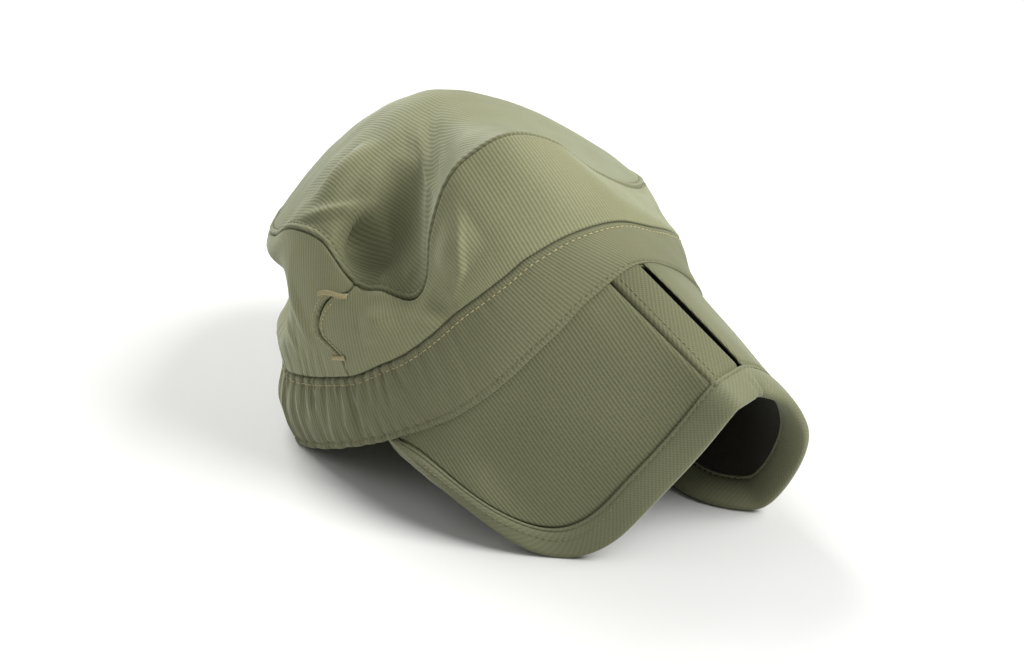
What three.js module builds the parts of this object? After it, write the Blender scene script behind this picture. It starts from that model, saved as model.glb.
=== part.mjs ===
// A soft packable sun cap at rest on a table: oval crown top, side panels, elastic headband
// and a folded peak in three stiff panels with a wide edge binding.
// Millimetres, +Z up. The peak points to -Y and the wearer's right side is -X.
// The cap rests on the back of its headband and on the two lower corners of its folded peak.
import * as THREE from 'three';

// Driving dimensions
const crownWall = 1.6;        // crown cloth with its turned seams
const bandWall = 2.4;         // headband, two layers and an elastic
const panelWall = 2.0;        // peak panel, cloth over a stiff sheet
const liningWall = 1.0;       // dark cloth under the peak
const bindingWall = 4.4;      // binding folded over the peak's edge
const bindingWidth = 12;      // binding, from the peak's edge to its stitched edge
const bindingRise = 1.0;      // the binding stands proud of the panels
const bindingRound = 1.4;     // and past their edge
const bindingShare = 0.9;     // it takes up at most this share of a short panel
const bindingTaper = 0.35;    // and narrows by this share towards its ends
const seamGap = 0.3;          // clearance between neighbouring pieces
const stripRise = 0.4;        // the centre strip stands proud of the panels
const crownTop = new THREE.Vector3(-4, 18, 146.5);   // highest part of the slumped crown
const crownBow = 1.85;        // how full the crown top stands between its seam and its top
const crownEase = 22;         // degrees over which the seam's drops even out towards the top
const sideSeam = 79;          // station of the two side seams, left and right
const slitBow = 13.5;         // how far the open slit in the right seam bows back, in degrees
const slitReach = 34;         // and over how many degrees beside it the cloth follows
const sidePuff = 3.0;         // side panels stand out between band and crown seam
const bandPuff = 1.6;         // and the headband between its edges
const gatherDepth = 0.9;      // headband gathers over the elastic
const gatherPitch = 9;        // degrees from one gather to the next
const gatherStart = 78;       // station where the gathers begin

// One row for each section round the head. at is the station on the headband's lower edge in
// degrees from the front, to the wearer's right. For the lower edge, the band's top seam and the
// crown seam: turn round that oval, distance of the oval from its own centre, and height.
const sectionColumns = ['at', 'lowOut', 'lowUp', 'bandTurn', 'bandOut', 'bandUp', 'crownTurn',
  'crownOut', 'crownUp'];
const sectionRows = [
  [-180, 85, -0.6, -180, 82, 28, -180, 80, 78],
  [-150, 82, -0.6, -150, 80, 29, -146, 78, 80],
  [-120, 76, 3, -118, 75, 35, -110, 74, 88],
  [-95, 75, 15, -92, 74, 47, -82, 74, 97],
  [-75, 75.5, 29, -69, 75, 61, -60, 79, 103],
  [-60, 81, 42, -50, 81, 77, -45, 84.5, 106],
  [-45, 90, 57, -33, 84, 91, -24, 84, 116],
  [-30, 90, 77, -16, 85, 108, -5, 82, 132],
  [-15, 86, 95.5, -1, 83, 119, 9, 79, 149],
  [0, 84, 105, 14, 82, 120, 23, 79, 156],
  [15, 82, 95.5, 27, 81, 113, 35, 78, 148],
  [24, 81, 84, 34, 80, 105, 41, 78, 137],
  [30, 80, 76, 40, 79, 98, 45, 77, 118],
  [37, 79, 66, 46, 78, 91, 46.5, 76, 98],
  [45, 78, 56, 53, 77, 81, 51, 75, 89],
  [55, 77, 46, 62, 76, 70, 60, 75, 92],
  [66, 75, 37, 71, 75, 62, 67, 74, 91],
  [78, 74, 28, 80, 74, 54, 73, 73, 96],
  [90, 74, 20, 90, 73, 48, 82, 72, 106],
  [108, 75, 8, 107, 74, 39, 97, 72, 105],
  [125, 80, -0.4, 125, 77, 31, 112, 70.5, 94],
  [150, 82, -0.6, 150, 80, 28, 142, 71, 83],
];
const bandBack = 10;          // the band's top seam lies this far back of its lower edge
const crownBack = 26;         // and the crown seam this far

// Dents and folds. level is 0 to 1 up the band, 1 to 2 up the side panels and 2 to 3 over the
// crown top. out is how far the cloth stands out, or in where negative.
const foldColumns = ['at', 'level', 'atSpread', 'levelSpread', 'out'];
const foldRows = [
  [60, 2.22, 22, 0.29, -12.5],   // pocket behind the front panel
  [100, 2.3, 12, 0.25, 4],       // ridge over the back of the pocket
  [128, 1.84, 20, 0.2, 2],       // back panel bulges under the crown seam
  [138, 1.56, 32, 0.36, -17],    // and is drawn in above the band
  [133, 0.5, 40, 0.5, 2.6],      // gathered band stands out beside the back
  [-47, 1.0, 26, 0.6, 4.6],   // band bulges beside the right fold of the peak
  [28, 1.62, 6, 0.3, 3],         // ridge of the front panel
  [60, 1.55, 10, 0.3, 3],        // fullness before the slit
];

// The peak, from its centre fold out to its ends: station of the peak's root on the headband,
// and its edge point.
const peakColumns = ['root', 'x', 'y', 'z', 'bow'];
const peakLeftRows = [
  [8, -9, -140, 70.5, 0],
  [18, -17, -131, 51, 1],
  [30, -29, -119, 28.5, 2],
  [42, -38, -107, 9.5, 3],
  [51, -47, -94, 1, 3],
  [58, -58, -80, 4, 3],
  [65, -66, -62, 14, 2],
  [71, -71, -42, 23.5, 1],
  [75, -73.5, -26, 30.5, 0],
];
const peakRightRows = [
  [-2, 10.2, -138.2, 69.4, 0],
  [-10, 24, -141, 60, 0],
  [-20, 34, -143, 43, 1.5],
  [-31, 35.9, -137.9, 23, 5],
  [-41, 32, -127.6, 3.6, 8],
  [-49, 25, -117, 1, 8],
  [-56, 20, -103, 1, 7],
  [-61, 22, -86, 1, 5],
  [-66, 38, -69, 5, 2],
  [-71, 64, -47, 18, 0],
  [-75, 75, -26, 27.5, 0],
];

const rad = THREE.MathUtils.degToRad;

// Smooth curve through a table's rows, keyed by the first column.
function tableCurve(columns, rows, period = 0) {
  const keyed = rows.map((row) => [...row]);
  if (period) {
    const turned = (row, by) => row.map((v, i) => (columns[i].match(/^at$|Turn$/) ? v + by : v));
    keyed.unshift(turned(rows[rows.length - 1], -period));
    keyed.push(turned(rows[0], period), turned(rows[1], period));
  }
  const from = keyed[0][0];
  const slope = (i, c) => {
    const a = Math.max(i - 1, 0);
    const b = Math.min(i + 1, keyed.length - 1);
    return (keyed[b][c] - keyed[a][c]) / (keyed[b][0] - keyed[a][0]);
  };
  return (key) => {
    let i = 0;
    while (i < keyed.length - 2 && Math.abs(key - from) > Math.abs(keyed[i + 1][0] - from)) i += 1;
    const span = keyed[i + 1][0] - keyed[i][0];
    const t = (key - keyed[i][0]) / span;
    const out = {};
    columns.forEach((name, c) => {
      const a = keyed[i][c];
      const b = keyed[i + 1][c];
      const t2 = t * t;
      const t3 = t2 * t;
      out[name] = a * (2 * t3 - 3 * t2 + 1) + b * (3 * t2 - 2 * t3)
        + slope(i, c) * span * (t3 - 2 * t2 + t) + slope(i + 1, c) * span * (t3 - t2);
    });
    return out;
  };
}

const section = tableCurve(sectionColumns, sectionRows, 360);
const folds = foldRows.map((row) => (
  Object.fromEntries(foldColumns.map((name, i) => [name, row[i]]))
));

function ovalPoint(turn, out, up, back) {
  return new THREE.Vector3(-out * Math.sin(rad(turn)), back - out * Math.cos(rad(turn)), up);
}

const wrap = (at) => ((at + 540) % 360) - 180;

// Point of the plain cap surface at a station and a level: 0 lower edge, 1 band seam,
// 2 crown seam, 3 crown top.
function plainSkin(at, level) {
  if (level > 2) return crownPoint(at, 3 - level);
  const s = section(wrap(at));
  const low = ovalPoint(s.at, s.lowOut, s.lowUp, 0);
  const band = ovalPoint(s.bandTurn, s.bandOut, s.bandUp, bandBack);
  const crown = ovalPoint(s.crownTurn, s.crownOut, s.crownUp, crownBack);
  if (level <= 1) {
    const p = low.clone().lerp(band, level);
    const puff = bandPuff * 4 * level * (1 - level);
    return p.add(ovalPoint(s.at, puff, 0, 0));
  }
  const w = level - 1;
  const p = band.clone().lerp(crown, w);
  return p.add(ovalPoint(s.bandTurn, sidePuff * 4 * w * (1 - w), 0, 0));
}

// Point of the crown top on a ring from 0 at its top to 1 at its seam. The seam's drops even out
// towards the top, where the cloth takes the mean of its neighbours.
function crownPoint(at, ring) {
  const spread = crownEase * (1 - ring);
  const rim = new THREE.Vector3();
  const shares = [1, 2, 3, 2, 1];
  shares.forEach((share, i) => {
    const s = section(wrap(at + (i - 2) * spread));
    rim.addScaledVector(ovalPoint(s.crownTurn, s.crownOut, s.crownUp, crownBack), share / 9);
  });
  const p = crownTop.clone().lerp(rim, ring);
  p.z = crownTop.z + (rim.z - crownTop.z) * ring ** crownBow;
  return p;
}

const hump = (x) => (Math.abs(x) < 1 ? (1 - x * x) ** 2 : 0);

function foldOut(at, level) {
  return folds.reduce((sum, f) => sum + f.out * hump(wrap(at - f.at) / f.atSpread)
    * hump((level - f.level) / f.levelSpread), 0);
}

function gatherOut(at, level) {
  const past = Math.abs(wrap(at)) - gatherStart;
  if (past < 0 || level > 1) return 0;
  const ease = Math.min(past / 10, 1);
  return gatherDepth * ease * (1 - level ** 2) * Math.cos((2 * Math.PI * past) / gatherPitch);
}

// Outward normal of a surface given as a function of two values.
function normalOf(surface, u, v, du, dv) {
  const across = surface(u + du, v).sub(surface(u - du, v));
  const up = surface(u, v + dv).sub(surface(u, v - dv));
  return up.cross(across).normalize();
}

function skin(at, level) {
  const p = plainSkin(at, level);
  const out = foldOut(at, level) + gatherOut(at, level);
  if (!out) return p;
  return p.addScaledVector(normalOf(plainSkin, at, level, 2, 0.15), out);
}

// Closed body from rows of outer and inner points. A wrapped body joins its last column to its
// first; a capped one ends its last row in one outer and one inner point. What would reach below
// the table is flattened on it.
function shell(outer, inner, { wrapped = false, capped = false, flip = false } = {}) {
  const rows = outer.length;
  const columns = outer[0].length;
  const points = [];
  const index = [outer, inner].map((side) => side.map((row, r) => {
    if (capped && r === rows - 1) {
      points.push(row[0]);
      return row.map(() => points.length - 1);
    }
    return row.map((p) => points.push(p) - 1);
  }));
  const faces = [];
  const face = (a, b, c) => {
    if (a !== b && b !== c && a !== c) faces.push(...(flip ? [a, c, b] : [a, b, c]));
  };
  const quad = (a, b, c, d) => {
    face(a, b, c);
    face(a, c, d);
  };
  const [o, n] = index;
  const last = wrapped ? columns : columns - 1;
  for (let r = 0; r < rows - 1; r += 1) {
    for (let c = 0; c < last; c += 1) {
      const d = (c + 1) % columns;
      quad(o[r][c], o[r + 1][c], o[r + 1][d], o[r][d]);
      quad(n[r][c], n[r][d], n[r + 1][d], n[r + 1][c]);
    }
  }
  for (let c = 0; c < last; c += 1) {
    const d = (c + 1) % columns;
    quad(o[0][c], o[0][d], n[0][d], n[0][c]);
    if (!capped) quad(o[rows - 1][c], n[rows - 1][c], n[rows - 1][d], o[rows - 1][d]);
  }
  if (!wrapped) {
    for (let r = 0; r < rows - 1; r += 1) {
      quad(o[r][0], n[r][0], n[r + 1][0], o[r + 1][0]);
      quad(o[r][columns - 1], o[r + 1][columns - 1], n[r + 1][columns - 1], n[r][columns - 1]);
    }
  }
  points.forEach((p) => {
    p.z = Math.max(p.z, 0);
  });
  const geometry = new THREE.BufferGeometry();
  const places = points.flatMap((p) => p.toArray());
  geometry.setAttribute('position', new THREE.Float32BufferAttribute(places, 3));
  geometry.setIndex(faces);
  geometry.computeVertexNormals();
  return geometry;
}

function piece(name, geometry, colour, roughness) {
  const material = new THREE.MeshStandardMaterial({ color: colour, roughness, metalness: 0 });
  const mesh = new THREE.Mesh(geometry, material);
  mesh.name = name;
  return mesh;
}

const range = (from, to, steps) => (
  Array.from({ length: steps + 1 }, (_, i) => from + ((to - from) * i) / steps)
);

// Stations of the columns: closer where the crown seam drops and where the band gathers.
const crownStations = [
  ...range(-180, -60, 20),
  ...range(-54, 12, 11),
  ...range(16, 73.5, 23),
  ...range(76, 175, 22),
];
const bandStations = [
  ...range(-180, -gatherStart, 49).slice(0, -1),
  ...range(-gatherStart, gatherStart, 28).slice(0, -1),
  ...range(gatherStart, 177.75, 48),
];

// A cloth panel between two levels, its ends trimmed by half the seam gap.
function clothPanel(stations, levels, wall, options = {}) {
  const shift = options.shift ?? (() => 0);
  const outer = [];
  const inner = [];
  levels.forEach((level, r) => {
    const edge = level === Math.round(level) ? Math.sign(levels.length / 2 - r) : 0;
    const outerRow = [];
    const innerRow = [];
    stations.forEach((station) => {
      const at = station + shift(station, level);
      const seamed = edge && level > 0 && level < 3;
      const trimmed = seamed ? level + edge * levelStep(at, level, edge) : level;
      const p = skin(at, trimmed);
      const n = level >= 3 ? new THREE.Vector3(0, 0, 1) : normalOf(skin, at, level, 0.6, 0.03);
      if (level === 0) n.setZ(0).normalize();
      outerRow.push(p);
      innerRow.push(p.clone().addScaledVector(n, -wall));
    });
    outer.push(outerRow);
    inner.push(innerRow);
  });
  return shell(outer, inner, options);
}

// Level change that moves a point half the seam gap along the cloth.
function levelStep(at, level, edge) {
  const probe = 0.02;
  return ((seamGap / 2) * probe) / skin(at, level).distanceTo(skin(at, level + edge * probe));
}

const crownLevels = [2, 2.06, 2.14, 2.22, 2.31, 2.4, 2.5, 2.62, 2.75, 2.88, 3];
const sideLevels = [1, 1.14, 1.28, 1.42, 1.57, 1.72, 1.86, 2];

const slitShift = (station, level) => {
  const near = hump((station - sideSeam) / slitReach);
  return slitBow * near * Math.sin(Math.PI * (level - 1) ** 0.75) ** 2;
};

const seamTrim = 0.12;        // half the seam gap at the side seams, in degrees
const frontStations = [
  -sideSeam + seamTrim,
  ...crownStations.filter((s) => Math.abs(s) < sideSeam - 1),
  sideSeam - seamTrim,
];
const backStations = [
  sideSeam + seamTrim,
  ...crownStations.filter((s) => s > sideSeam + 1),
  ...crownStations.filter((s) => s < -sideSeam - 1).map((s) => s + 360),
  360 - sideSeam - seamTrim,
];

// Peak surface: across runs from -1 at the right end over 0 at the right fold to 1 at the strip's
// left edge and 2 at the left end; along runs 0 at the headband to 1 at the edge.
const peakLeft = tableCurve(peakColumns, peakLeftRows);
const peakRight = tableCurve(peakColumns, peakRightRows);
const rootDrop = 0.8;         // the peak's root lies just under the headband's lower edge
const rootIn = 1.3;

function peakRoot(at) {
  const p = skin(at, 0);
  const away = new THREE.Vector3(p.x, p.y, 0).normalize();
  return p.addScaledVector(away, -rootIn).add(new THREE.Vector3(0, 0, -rootDrop));
}

function peakRow(across) {
  const leftFold = peakLeftRows[0];
  const rightFold = peakRightRows[0];
  if (across >= 1) {
    const end = peakLeftRows[peakLeftRows.length - 1][0];
    return peakLeft(leftFold[0] + (end - leftFold[0]) * (across - 1));
  }
  if (across <= 0) {
    const end = peakRightRows[peakRightRows.length - 1][0];
    return peakRight(rightFold[0] + (end - rightFold[0]) * -across);
  }
  const mixed = {};
  peakColumns.forEach((name, c) => {
    mixed[name] = rightFold[c] + (leftFold[c] - rightFold[c]) * across;
  });
  return mixed;
}

function peakSkin(across, along) {
  const row = peakRow(across);
  const root = peakRoot(row.root);
  const edge = new THREE.Vector3(row.x, row.y, row.z);
  const p = root.clone().lerp(edge, along);
  if (row.bow) {
    const side = Math.sign(row.root);
    const away = new THREE.Vector3(-side, -0.35, 0.3).normalize();
    p.addScaledVector(away, row.bow * Math.sin(Math.PI * along) ** 2);
  }
  return p;
}

// How far along the ruling the binding begins, less a clearance, so that it is as wide as it
// should be across its own length. Where the ruling is short the share evens out to its limit.
function bindingStart(across, clearance = 0) {
  const row = peakRow(across);
  const ruling = peakRoot(row.root).sub(new THREE.Vector3(row.x, row.y, row.z));
  const tangent = peakSkin(across + 0.01, 1).sub(peakSkin(across - 0.01, 1)).normalize();
  const width = ruling.clone().addScaledVector(tangent, -ruling.dot(tangent)).length();
  const end = THREE.MathUtils.smoothstep(Math.abs(across - 0.5), 1, 1.5);
  const share = (bindingWidth * (1 - bindingTaper * end)) / width;
  return 1 - share / (1 + (share / bindingShare) ** 6) ** (1 / 6) - clearance / width;
}

// Outward normal of the peak. At its two folds it halves the angle between the panels, and is
// longer there by as much as keeps each wall's thickness.
const foldReach = 0.03;
function peakNormal(across, along) {
  const facing = (at) => normalOf(peakSkin, at, along, 0.004, 0.02).negate();
  const fold = [0, 1].find((f) => Math.abs(across - f) <= foldReach);
  if (fold === undefined) return normalOf(peakSkin, across, along, 0.012, 0.02).negate();
  const before = facing(fold - 0.02);
  const both = before.clone().add(facing(fold + 0.02)).normalize();
  return both.divideScalar(both.dot(before));
}

// A sheet of the peak between two across values, from depth above to depth below the surface.
function peakSheet(acrossList, alongRows, above, below, roundEdge = 0) {
  const outer = [];
  const inner = [];
  alongRows.forEach((alongAt) => {
    outer.push([]);
    inner.push([]);
    acrossList.forEach((across) => {
      const along = alongAt(across);
      const p = peakSkin(across, along);
      const n = peakNormal(across, along);
      outer[outer.length - 1].push(p.clone().addScaledVector(n, above));
      inner[inner.length - 1].push(p.clone().addScaledVector(n, -below));
    });
  });
  if (roundEdge) {
    const tip = acrossList.map((across) => {
      const p = peakSkin(across, 1);
      const n = peakNormal(across, 1);
      const away = peakSkin(across, 1).sub(peakSkin(across, 0.98)).normalize();
      return [p.clone().addScaledVector(n, above - roundEdge).addScaledVector(away, roundEdge),
        p.clone().addScaledVector(n, roundEdge - below).addScaledVector(away, roundEdge)];
    });
    outer.push(tip.map((pair) => pair[0]));
    inner.push(tip.map((pair) => pair[1]));
  }
  return shell(outer, inner, { flip: true });
}

const panelAlongs = (count, clearance) => range(0.01, 1, count)
  .map((t) => (across) => t * bindingStart(across, clearance));
const bindingAlongs = range(0, 1, 2).map((t) => (across) => {
  const start = bindingStart(across);
  return start + t * (1 - start);
});

const stripWidth = 18;        // centre strip, between the peak's two folds
const endTrim = 0.014;        // the peak's sheets end short of its first and last ruling
const foldTrim = seamGap / stripWidth;
const gapAcross = -0.016;     // the right panel begins past the open fold
const rightAcross = [...range(-1 + endTrim, -0.8, 9), ...range(-0.75, -0.06, 11), gapAcross];
const stripAcross = [foldTrim, 0.5, 1 - foldTrim];
const leftAcross = [1 + foldTrim / 5, ...range(1.05, 2 - endTrim, 15)];
const peakAcross = [...rightAcross, ...stripAcross, ...leftAcross];
const liningTop = panelWall + seamGap;
const panelRows = panelAlongs(6, seamGap);

const ring = { wrapped: true, capped: true };
const slit = { shift: slitShift };
const band = { wrapped: true };

const cap = new THREE.Group();
cap.add(
  piece('crown_top', clothPanel(crownStations, crownLevels, crownWall, ring), 0x77795c, 0.9),
  piece('side_front', clothPanel(frontStations, sideLevels, crownWall, slit), 0x7d8063, 0.9),
  piece('side_back', clothPanel(backStations, sideLevels, crownWall, slit), 0x75775a, 0.9),
  piece('headband', clothPanel(bandStations, [0, 0.5, 1], bandWall, band), 0x6d6d54, 0.9),
  piece('peak_panel_left', peakSheet(leftAcross, panelRows, 0, panelWall), 0x6d6b53, 0.9),
  piece('peak_strip', peakSheet(stripAcross, panelRows, stripRise, panelWall), 0x84866a, 0.9),
  piece('peak_panel_right', peakSheet(rightAcross, panelRows, 0, panelWall), 0x75775c, 0.9),
  piece('peak_lining', peakSheet(peakAcross, panelRows, -liningTop, liningTop + liningWall),
    0x171612, 0.95),
  piece('peak_binding', peakSheet(peakAcross, bindingAlongs, bindingRise,
    bindingWall - bindingRise, bindingRound), 0x74765a, 0.9),
);

// The origin lies under the middle of the cap's box, on the table.
const box = new THREE.Box3().setFromObject(cap);
cap.position.set(-(box.min.x + box.max.x) / 2, -(box.min.y + box.max.y) / 2, 0);

export default cap;
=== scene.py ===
# Soft packable sun cap in ribbed olive cloth, lying on a table: oval crown top, two side panels
# with a stitched slit in one seam, gathered headband, folded peak in three panels with a binding.
import math

import bpy
import numpy as np
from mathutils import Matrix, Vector


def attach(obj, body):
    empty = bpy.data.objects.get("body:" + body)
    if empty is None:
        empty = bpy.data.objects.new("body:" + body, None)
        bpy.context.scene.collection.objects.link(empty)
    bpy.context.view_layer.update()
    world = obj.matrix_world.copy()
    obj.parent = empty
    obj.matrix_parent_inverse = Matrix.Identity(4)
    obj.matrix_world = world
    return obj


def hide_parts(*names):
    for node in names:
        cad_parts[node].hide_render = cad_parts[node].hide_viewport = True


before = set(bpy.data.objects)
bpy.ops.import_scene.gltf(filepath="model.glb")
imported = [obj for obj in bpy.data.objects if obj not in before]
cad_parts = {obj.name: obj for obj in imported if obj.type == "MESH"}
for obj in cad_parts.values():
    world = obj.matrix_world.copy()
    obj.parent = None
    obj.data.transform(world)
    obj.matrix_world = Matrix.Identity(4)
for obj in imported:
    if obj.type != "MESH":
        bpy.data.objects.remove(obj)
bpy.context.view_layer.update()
print("frame loaded", sorted(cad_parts))

# Shape tables, in millimetres and degrees, as the solids have them.
# at is a station round the head from the front to the wearer's right, level is 0 at the band's
# lower edge, 1 at its top seam, 2 at the crown seam and 3 at the top of the crown.
shape = {
    "shift": (-0.5475, 19.0247, 0.0),     # from the tables' origin to the model's
    "crownTop": (-4, 18, 146.5),
    "crownBow": 1.85,
    "crownEase": 22,
    "bandBack": 10,
    "crownBack": 26,
    "sidePuff": 3.0,
    "bandPuff": 1.6,
    "gatherDepth": 0.3,
    "gatherPitch": 9,
    "gatherStart": 78,
    "gatherEase": 10,
    "sideSeam": 79,
    "slitReach": 34,
    "slitOpen": 0.55,
    "rootDrop": 0.8,
    "rootIn": 1.3,
    "bindingWidth": 12,
    "bindingShare": (0.9, 1.5),      # right end, left end
    "bindingTaper": (0.35, 0.5),
    "taperFrom": 1,
    "taperOver": 0.5,
    "evenReach": 0.09,
    "evenFrom": 0.6,
    "evenOver": 0.15,
    "bowForward": 0.35,
    "bowLift": 0.3,
}
probe = {"at": 2, "level": 0.15, "fineAt": 0.4, "fineLevel": 0.05, "across": 0.01}
evenShares = [1, 2, 3, 2, 1]    # weights that even a value out over five places
sectionColumns = ["at", "lowOut", "lowUp", "bandTurn", "bandOut", "bandUp",
                  "crownTurn", "crownOut", "crownUp"]
sectionRows = [
    [-180, 85, -0.6, -180, 82, 28, -180, 80, 78],
    [-150, 82, -0.6, -150, 80, 29, -146, 78, 80],
    [-120, 76, 3, -118, 75, 35, -110, 74, 88],
    [-95, 75, 15, -92, 74, 47, -82, 74, 97],
    [-75, 75.5, 29, -69, 75, 61, -60, 79, 103],
    [-60, 81, 42, -50, 81, 77, -45, 84.5, 106],
    [-45, 90, 57, -33, 84, 91, -24, 84, 116],
    [-30, 90, 77, -16, 85, 108, -5, 82, 132],
    [-15, 86, 95.5, -1, 83, 119, 9, 79, 149],
    [0, 84, 105, 14, 82, 120, 23, 79, 156],
    [15, 82, 95.5, 27, 81, 113, 35, 78, 148],
    [24, 81, 84, 34, 80, 105, 41, 78, 137],
    [30, 80, 76, 40, 79, 98, 45, 77, 118],
    [37, 79, 66, 46, 78, 91, 46.5, 76, 98],
    [45, 78, 56, 53, 77, 81, 51, 75, 89],
    [55, 77, 46, 62, 76, 70, 60, 75, 92],
    [66, 75, 37, 71, 75, 62, 67, 74, 91],
    [78, 74, 28, 80, 74, 54, 73, 73, 96],
    [90, 74, 20, 90, 73, 48, 82, 72, 106],
    [108, 75, 8, 107, 74, 39, 97, 72, 105],
    [125, 80, -0.4, 125, 77, 31, 112, 70.5, 94],
    [150, 82, -0.6, 150, 80, 28, 142, 71, 83],
]
foldColumns = ["at", "level", "atSpread", "levelSpread", "out"]
foldRows = [
    [60, 2.22, 22, 0.29, -12.5],
    [100, 2.3, 12, 0.25, 4],
    [128, 1.84, 20, 0.2, 2],
    [138, 1.56, 32, 0.36, -17],
    [-47, 1.0, 26, 0.6, 4.6],
    [133, 0.5, 40, 0.5, 2.6],
    [28, 1.62, 6, 0.3, 3],
    [60, 1.55, 10, 0.3, 3],
]
peakColumns = ["root", "x", "y", "z", "bow"]
peakLeftRows = [
    [8, -9, -140, 70.5, 0],
    [18, -17, -131, 51, 1],
    [30, -29, -119, 28.5, 2],
    [42, -38, -107, 9.5, 3],
    [51, -47, -94, 1, 3],
    [58, -58, -80, 4, 3],
    [65, -66, -62, 14, 2],
    [71, -71, -42, 23.5, 1],
    [75, -73.5, -26, 30.5, 0],
]
peakRightRows = [
    [-2, 10.2, -138.2, 69.4, 0],
    [-10, 24, -141, 60, 0],
    [-20, 34, -143, 43, 1.5],
    [-31, 35.9, -137.9, 23, 5],
    [-41, 32, -127.6, 3.6, 8],
    [-49, 25, -117, 1, 8],
    [-56, 20, -103, 1, 7],
    [-61, 22, -86, 1, 5],
    [-66, 38, -69, 5, 2],
    [-71, 64, -47, 18, 0],
    [-75, 75, -26, 27.5, 0],
]


# A smooth curve through a table's rows, keyed by the first column.
def tableCurve(columns, rows, period=0):
    keyed = np.array(rows, float)
    turning = np.array([name == "at" or name.endswith("Turn") for name in columns])
    if period:
        keyed = np.vstack([keyed[-1] - period * turning, keyed, keyed[:2] + period * turning])
    count = len(keyed)
    sign = np.sign(keyed[-1, 0] - keyed[0, 0])
    low = np.clip(np.arange(count) - 1, 0, count - 1)
    high = np.clip(np.arange(count) + 1, 0, count - 1)
    slopes = (keyed[high] - keyed[low]) / (keyed[high, :1] - keyed[low, :1])

    def curve(key):
        key = np.asarray(key, float)
        spot = np.searchsorted(keyed[:, 0] * sign, key * sign, side="left") - 1
        spot = np.clip(spot, 0, count - 2)
        a, b = keyed[spot], keyed[spot + 1]
        span = b[..., :1] - a[..., :1]
        t = (key[..., None] - a[..., :1]) / span
        t2, t3 = t ** 2, t ** 3
        value = (a * (2 * t3 - 3 * t2 + 1) + b * (3 * t2 - 2 * t3)
                 + slopes[spot] * span * (t3 - 2 * t2 + t) + slopes[spot + 1] * span * (t3 - t2))
        return {name: value[..., i] for i, name in enumerate(columns)}

    return curve


section = tableCurve(sectionColumns, sectionRows, 360)
peakLeft = tableCurve(peakColumns, peakLeftRows)
peakRight = tableCurve(peakColumns, peakRightRows)


def unit(v):
    return v / np.maximum(np.linalg.norm(v, axis=-1, keepdims=True), 1e-9)


def wrapTurn(at):
    return (np.asarray(at, float) + 540) % 360 - 180


def hump(x):
    return np.where(np.abs(x) < 1, (1 - np.minimum(x ** 2, 1)) ** 2, 0.0)


def ovalPoint(turn, out, up, back):
    turn = np.radians(turn)
    return np.stack([-out * np.sin(turn), back - out * np.cos(turn), up + 0 * turn], -1)


def crownRim(at):
    s = section(wrapTurn(at))
    return ovalPoint(s["crownTurn"], s["crownOut"], s["crownUp"], shape["crownBack"])


# The crown top: the seam's drops even out towards the top of the crown.
def crownPoint(at, ring):
    ring = np.clip(ring, 0, 1.2)
    spread = shape["crownEase"] * (1 - ring)
    rim = sum(crownRim(at + (i - 2) * spread) * share for i, share in enumerate(evenShares))
    rim = rim / sum(evenShares)
    top = np.array(shape["crownTop"], float)
    p = top + (rim - top) * ring[..., None]
    p[..., 2] = top[2] + (rim[..., 2] - top[2]) * ring ** shape["crownBow"]
    return p


def plainSkin(at, level):
    at, level = np.broadcast_arrays(np.asarray(at, float), np.asarray(level, float))
    s = section(wrapTurn(at))
    low = ovalPoint(s["at"], s["lowOut"], s["lowUp"], 0)
    band = ovalPoint(s["bandTurn"], s["bandOut"], s["bandUp"], shape["bandBack"])
    crown = ovalPoint(s["crownTurn"], s["crownOut"], s["crownUp"], shape["crownBack"])
    w = level - 1
    bandOut = shape["bandPuff"] * 4 * level * (1 - level)
    sideOut = shape["sidePuff"] * 4 * w * (1 - w)
    lower = low + (band - low) * level[..., None] + ovalPoint(s["at"], bandOut, 0, 0)
    upper = band + (crown - band) * w[..., None] + ovalPoint(s["bandTurn"], sideOut, 0, 0)
    body = np.where((level <= 1)[..., None], lower, upper)
    return np.where((level > 2)[..., None], crownPoint(at, 3 - level), body)


def skin(at, level):
    at, level = np.broadcast_arrays(np.asarray(at, float), np.asarray(level, float))
    out = np.zeros(at.shape)
    for row in foldRows:
        f = dict(zip(foldColumns, row))
        near = hump(wrapTurn(at - f["at"]) / f["atSpread"])
        out = out + f["out"] * near * hump((level - f["level"]) / f["levelSpread"])
    past = np.abs(wrapTurn(at)) - shape["gatherStart"]
    ease = np.clip(past / shape["gatherEase"], 0, 1) * np.clip(1 - level ** 2, 0, 1)
    out = out + shape["gatherDepth"] * ease * np.cos(2 * np.pi * past / shape["gatherPitch"])
    across = plainSkin(at + probe["at"], level) - plainSkin(at - probe["at"], level)
    up = plainSkin(at, level + probe["level"]) - plainSkin(at, level - probe["level"])
    return plainSkin(at, level) + unit(np.cross(up, across)) * out[..., None]


# The peak: across is -1 at its right end, 0 at the right fold, 1 at the centre strip's left edge
# and 2 at its left end; along is 0 at the headband and 1 at the edge.
def peakRow(across):
    across = np.asarray(across, float)
    leftFold, rightFold = peakLeftRows[0], peakRightRows[0]
    leftEnd, rightEnd = peakLeftRows[-1][0], peakRightRows[-1][0]
    left = peakLeft(leftFold[0] + (leftEnd - leftFold[0]) * np.clip(across - 1, 0, 1))
    right = peakRight(rightFold[0] + (rightEnd - rightFold[0]) * np.clip(-across, 0, 1))
    row = {}
    for c, name in enumerate(peakColumns):
        middle = rightFold[c] + (leftFold[c] - rightFold[c]) * across
        row[name] = np.where(across >= 1, left[name], np.where(across <= 0, right[name], middle))
    return row


def peakRoot(at):
    p = skin(at, np.zeros(np.shape(at)))
    away = unit(p * [1, 1, 0])
    return p - away * shape["rootIn"] - np.array([0, 0, shape["rootDrop"]])


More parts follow.
